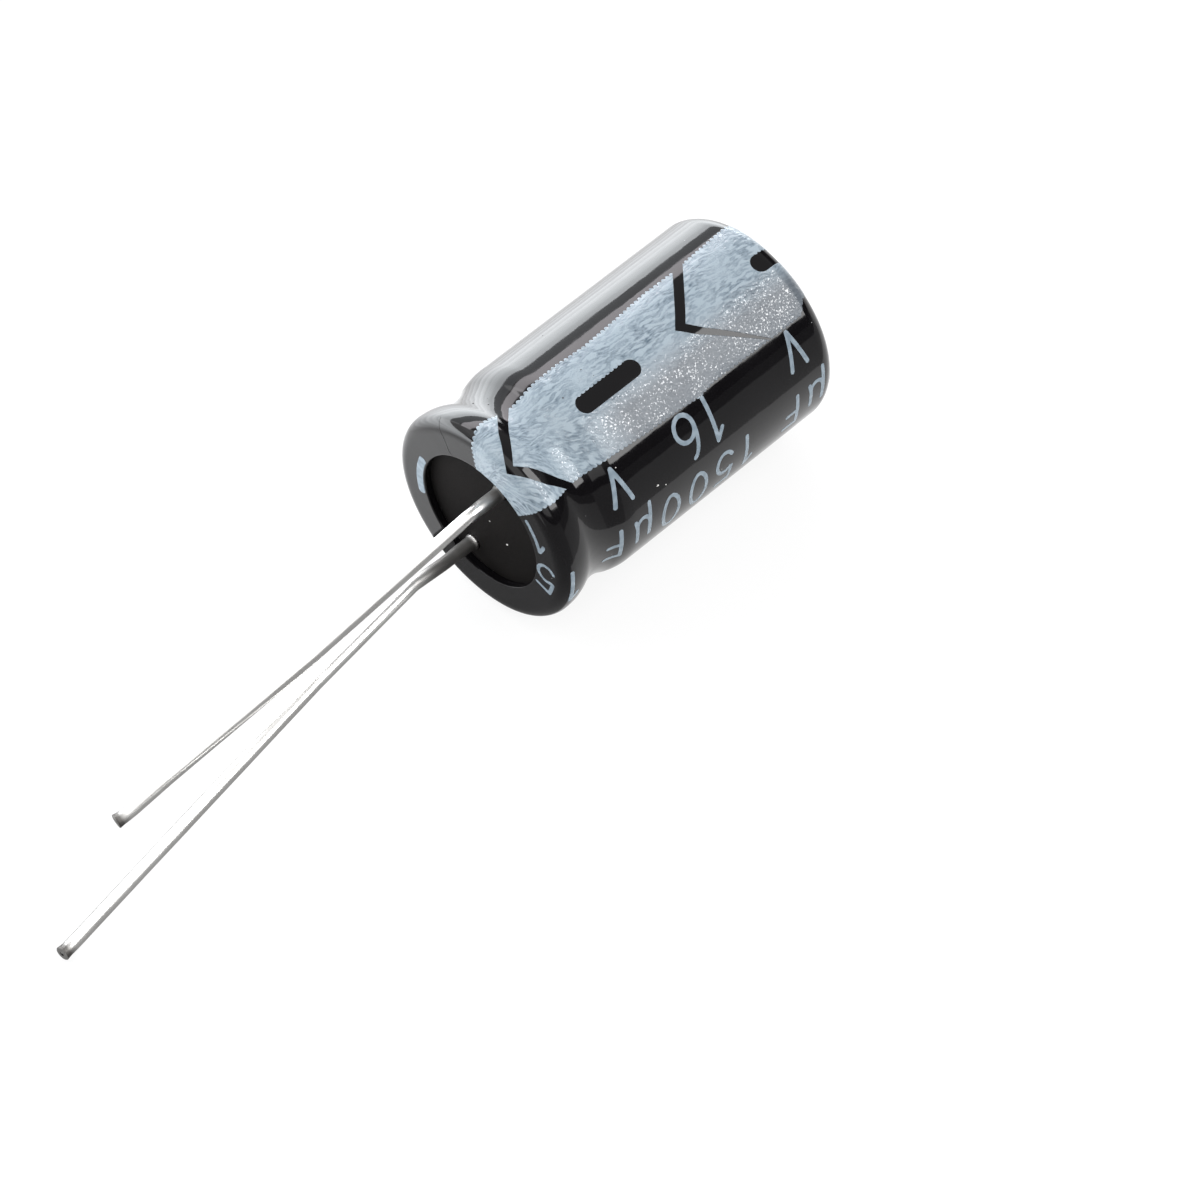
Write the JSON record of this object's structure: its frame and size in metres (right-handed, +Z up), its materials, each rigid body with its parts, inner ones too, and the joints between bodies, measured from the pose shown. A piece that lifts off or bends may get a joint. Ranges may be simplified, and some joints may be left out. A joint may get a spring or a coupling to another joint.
{
  "type": "electrolytic capacitor",
  "caption": "Radial electrolytic capacitor in a dark plastic sleeve with a pale polarity band, lying on its side on its body and the tips of its bent wire leads.",
  "frame": {"origin": "middle of the seat at the lead end, on the can's axis", "axes": "+X along the can from the seat to the vent; +Z up from the surface that the capacitor lies on; +Y completes the frame"},
  "size_m": [0.0424, 0.0103, 0.0102],
  "materials": {
    "sleeve_plastic": "high gloss shrink film",
    "band_ink": "printed ink under a satin gloss, finely wrinkled",
    "can_aluminium": "drawn, fine satin",
    "seal_rubber": "matt moulded rubber",
    "tinned_wire": "bright tin plate",
    "tab_aluminium": "cold formed",
    "anode_aluminium": "etched and formed, dull grey",
    "cathode_aluminium": "etched, satin",
    "separator_paper": "thin porous paper, wetted",
    "closing_film": "thin adhesive film"
  },
  "bodies": {
    "root": {"sleeve": "sleeve_plastic", "polarity_band": "band_ink", "can": "can_aluminium", "bung": "seal_rubber", "negative_lead": "tinned_wire", "positive_lead": "tinned_wire", "negative_tab": "tab_aluminium", "positive_tab": "tab_aluminium", "inner_separator": "separator_paper", "anode_foil": "anode_aluminium", "outer_separator": "separator_paper", "cathode_foil": "cathode_aluminium", "closing_tape": "closing_film"}
  },
  "joints": []
}
